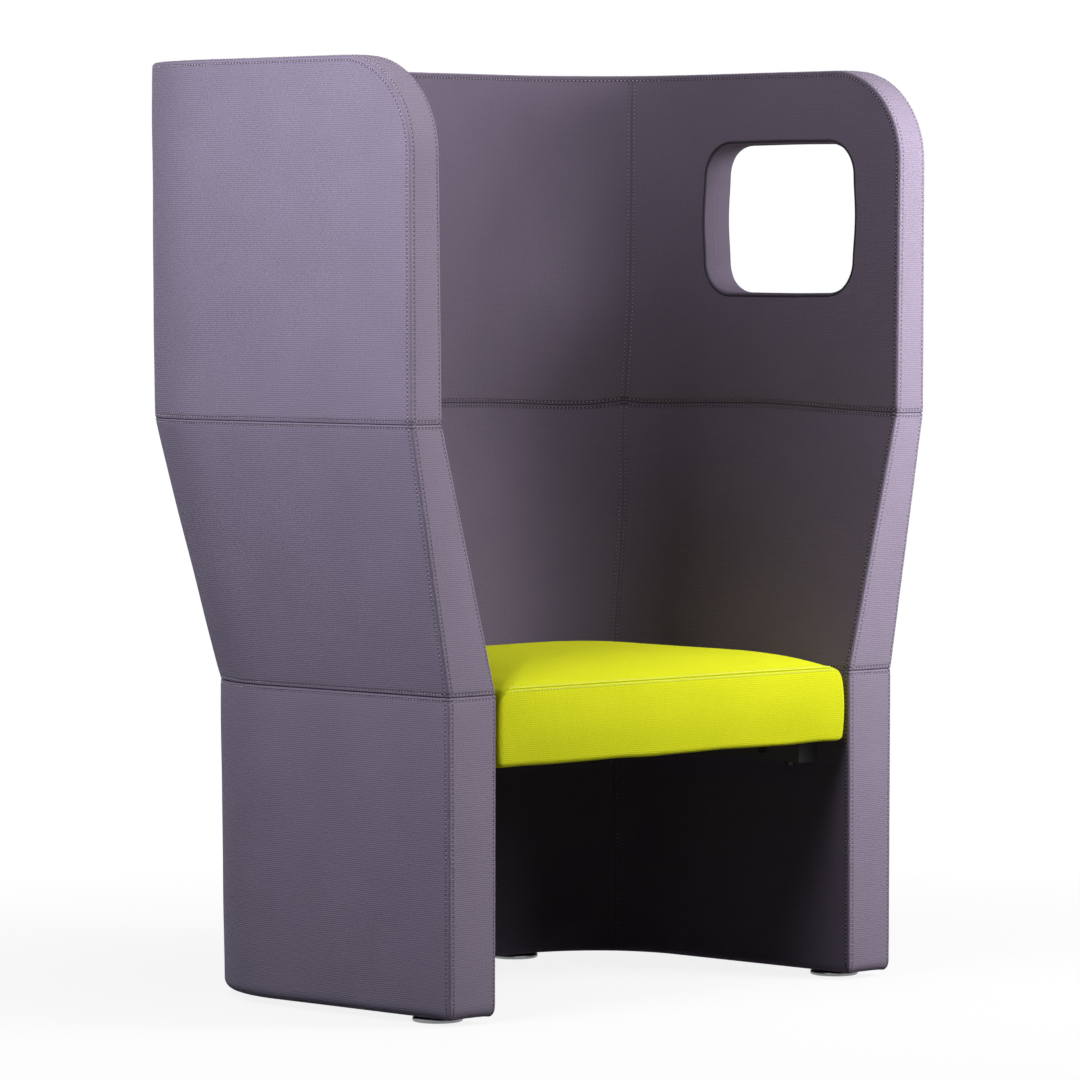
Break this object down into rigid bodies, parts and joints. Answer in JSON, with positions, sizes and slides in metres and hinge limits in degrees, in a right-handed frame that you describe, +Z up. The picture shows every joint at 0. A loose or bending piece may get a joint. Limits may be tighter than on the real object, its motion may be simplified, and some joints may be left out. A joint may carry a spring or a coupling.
{
  "type": "acoustic high back lounge chair",
  "caption": "High-back acoustic lounge chair: a padded wall wraps left side, back and right side of an upholstered seat, with a window in the right side.",
  "frame": {"origin": "on the floor, under the middle of the chair's bounding box", "axes": "+Z up, -Y towards the open front, +X towards the wall with the window"},
  "size_m": [1.042, 0.672, 1.32],
  "materials": {
    "outer_cloth": "fine-weave mauve-grey wool cloth",
    "inner_cloth": "fine-weave mauve-grey wool cloth",
    "band_cloth": "fine-weave mauve-grey wool cloth, top-stitched",
    "lining_cloth": "fine-weave mauve-grey wool cloth",
    "dust_cloth": "black non-woven sheet",
    "foam": "open-cell upholstery foam",
    "bent_board": "thin bent board",
    "seat_cloth": "fine-weave lime wool cloth",
    "glide_steel": "dark satin",
    "zinc_steel": "zinc plated",
    "plywood": "raw birch plywood"
  },
  "bodies": {
    "root": {"outer_cover_lower": "outer_cloth", "outer_cover_middle": "outer_cloth", "outer_cover_upper": "outer_cloth", "left_inner_cover_lower": "inner_cloth", "left_inner_cover_middle": "inner_cloth", "left_inner_cover_upper": "inner_cloth", "back_inner_cover_lower": "inner_cloth", "back_inner_cover_middle": "inner_cloth", "back_inner_cover_upper": "inner_cloth", "right_inner_cover_lower": "inner_cloth", "right_inner_cover_middle": "inner_cloth", "right_inner_cover_upper": "inner_cloth", "left_edge_band_lower": "band_cloth", "left_edge_band_middle": "band_cloth", "right_edge_band_lower": "band_cloth", "right_edge_band_middle": "band_cloth", "top_edge_band": "band_cloth", "window_lining": "lining_cloth", "base_dust_cover": "dust_cloth", "outer_foam_lower": "foam", "outer_foam_middle": "foam", "outer_foam_upper": "foam", "inner_foam_lower": "foam", "inner_foam_middle": "foam", "inner_foam_upper": "foam", "edge_foam": "foam", "outer_board_lower": "bent_board", "outer_board_middle": "bent_board", "outer_board_upper": "bent_board", "inner_board_lower": "bent_board", "inner_board_middle": "bent_board", "inner_board_upper": "bent_board", "base_plate": "plywood", "low_seam_ring": "plywood", "high_seam_ring": "plywood", "top_rail": "plywood", "lower_ribs": "plywood", "middle_ribs": "plywood", "upper_ribs": "plywood", "top_corner_blocks": "plywood", "window_frame": "plywood", "bearer_blocks": "plywood", "seat_cover": "seat_cloth", "seat_foam": "foam", "seat_board": "plywood", "seat_bearers": "plywood", "bearer_bolts": "zinc_steel", "seat_bolts": "zinc_steel", "seat_tee_nuts": "zinc_steel", "glide_tee_nuts": "zinc_steel"},
    "front_left_foot": {"front_left_glide": "glide_steel", "front_left_stud": "zinc_steel"},
    "front_right_foot": {"front_right_glide": "glide_steel", "front_right_stud": "zinc_steel"},
    "rear_left_foot": {"rear_left_glide": "glide_steel", "rear_left_stud": "zinc_steel"},
    "rear_right_foot": {"rear_right_glide": "glide_steel", "rear_right_stud": "zinc_steel"}
  },
  "joints": [
    {"name": "front_left_level", "type": "slide", "parent": "root", "child": "front_left_foot", "axis": [0, 0, -1], "range_m": [0, 0.008]},
    {"name": "front_right_level", "type": "slide", "parent": "root", "child": "front_right_foot", "axis": [0, 0, -1], "range_m": [0, 0.008]},
    {"name": "rear_left_level", "type": "slide", "parent": "root", "child": "rear_left_foot", "axis": [0, 0, -1], "range_m": [0, 0.008]},
    {"name": "rear_right_level", "type": "slide", "parent": "root", "child": "rear_right_foot", "axis": [0, 0, -1], "range_m": [0, 0.008]}
  ]
}
